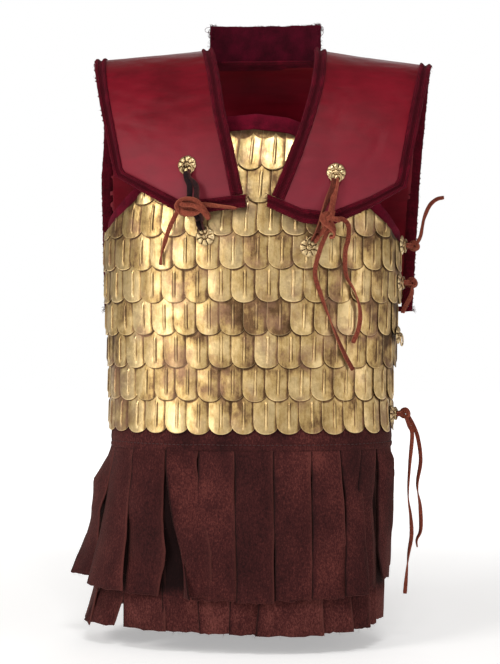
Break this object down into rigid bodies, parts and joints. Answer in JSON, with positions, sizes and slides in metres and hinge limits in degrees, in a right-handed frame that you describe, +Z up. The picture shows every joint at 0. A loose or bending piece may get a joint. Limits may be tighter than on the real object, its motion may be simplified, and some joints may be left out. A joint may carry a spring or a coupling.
{
  "type": "scale armour",
  "caption": "Worn-shape scale cuirass: felt body covered in brass scales, leather shoulder yoke, side and chest ties, and a skirt of suede strips.",
  "frame": {"origin": "middle of the shoulder line, where the wearer's shoulders carry the yoke", "axes": "+Z up, the wearer faces -Y and the wearer's left side is +X"},
  "size_m": [0.5104, 0.3032, 0.8278],
  "materials": {
    "brass": "polished brass with brown tarnish",
    "wool_felt": "matt wool felt",
    "woven_binding": "woven wool, frayed edge",
    "yoke_leather": "smooth dyed leather, semi-gloss",
    "strip_suede": "brushed suede",
    "thong_suede": "suede lacing"
  },
  "bodies": {
    "armour": {"armhole_band_back_left": "wool_felt", "armhole_band_back_right": "wool_felt", "armhole_band_front_left": "wool_felt", "armhole_band_front_right": "wool_felt", "back_neck_band": "wool_felt", "back_panel": "wool_felt", "binding_hem": "woven_binding", "binding_left": "woven_binding", "binding_neck": "woven_binding", "binding_right": "woven_binding", "chest_tie_left": "thong_suede", "chest_tie_right": "thong_suede", "front_panel": "wool_felt", "neck_guard": "wool_felt", "neckline_band": "wool_felt", "pteruges_inner_back": "strip_suede", "pteruges_inner_front": "strip_suede", "pteruges_outer_back": "strip_suede", "pteruges_outer_front": "strip_suede", "rosette_back_side_1": "brass", "rosette_back_side_2": "brass", "rosette_back_side_3": "brass", "rosette_back_side_4": "brass", "rosette_front_side_1": "brass", "rosette_front_side_2": "brass", "rosette_front_side_3": "brass", "rosette_front_side_4": "brass", "rosette_lower_left": "brass", "rosette_lower_right": "brass", "rosette_upper_left": "brass", "rosette_upper_right": "brass", "scale_row_1": "brass", "scale_row_2": "brass", "scale_row_3": "brass", "scale_row_4": "brass", "scale_row_5": "brass", "scale_row_6": "brass", "scale_row_7": "brass", "scale_row_8": "brass", "scale_row_9": "brass", "thong_end_a": "thong_suede", "thong_end_b": "thong_suede", "thong_end_c": "thong_suede", "thong_end_d": "thong_suede", "thong_end_e": "thong_suede", "thong_end_f": "thong_suede", "thong_end_g": "thong_suede", "thong_end_h": "thong_suede", "tie_side_1": "thong_suede", "tie_side_2": "thong_suede", "tie_side_4": "thong_suede", "waistband_back": "strip_suede", "waistband_front": "strip_suede", "yoke": "yoke_leather"},
    "ring": {"empty_ring": "brass"}
  },
  "joints": [
    {"name": "ring_swing", "type": "hinge", "parent": "armour", "child": "ring", "pos_m": [0.18968, -0.03139, -0.382], "axis": [-0.2224, -0.975, 0], "range_deg": [0, 150]}
  ]
}
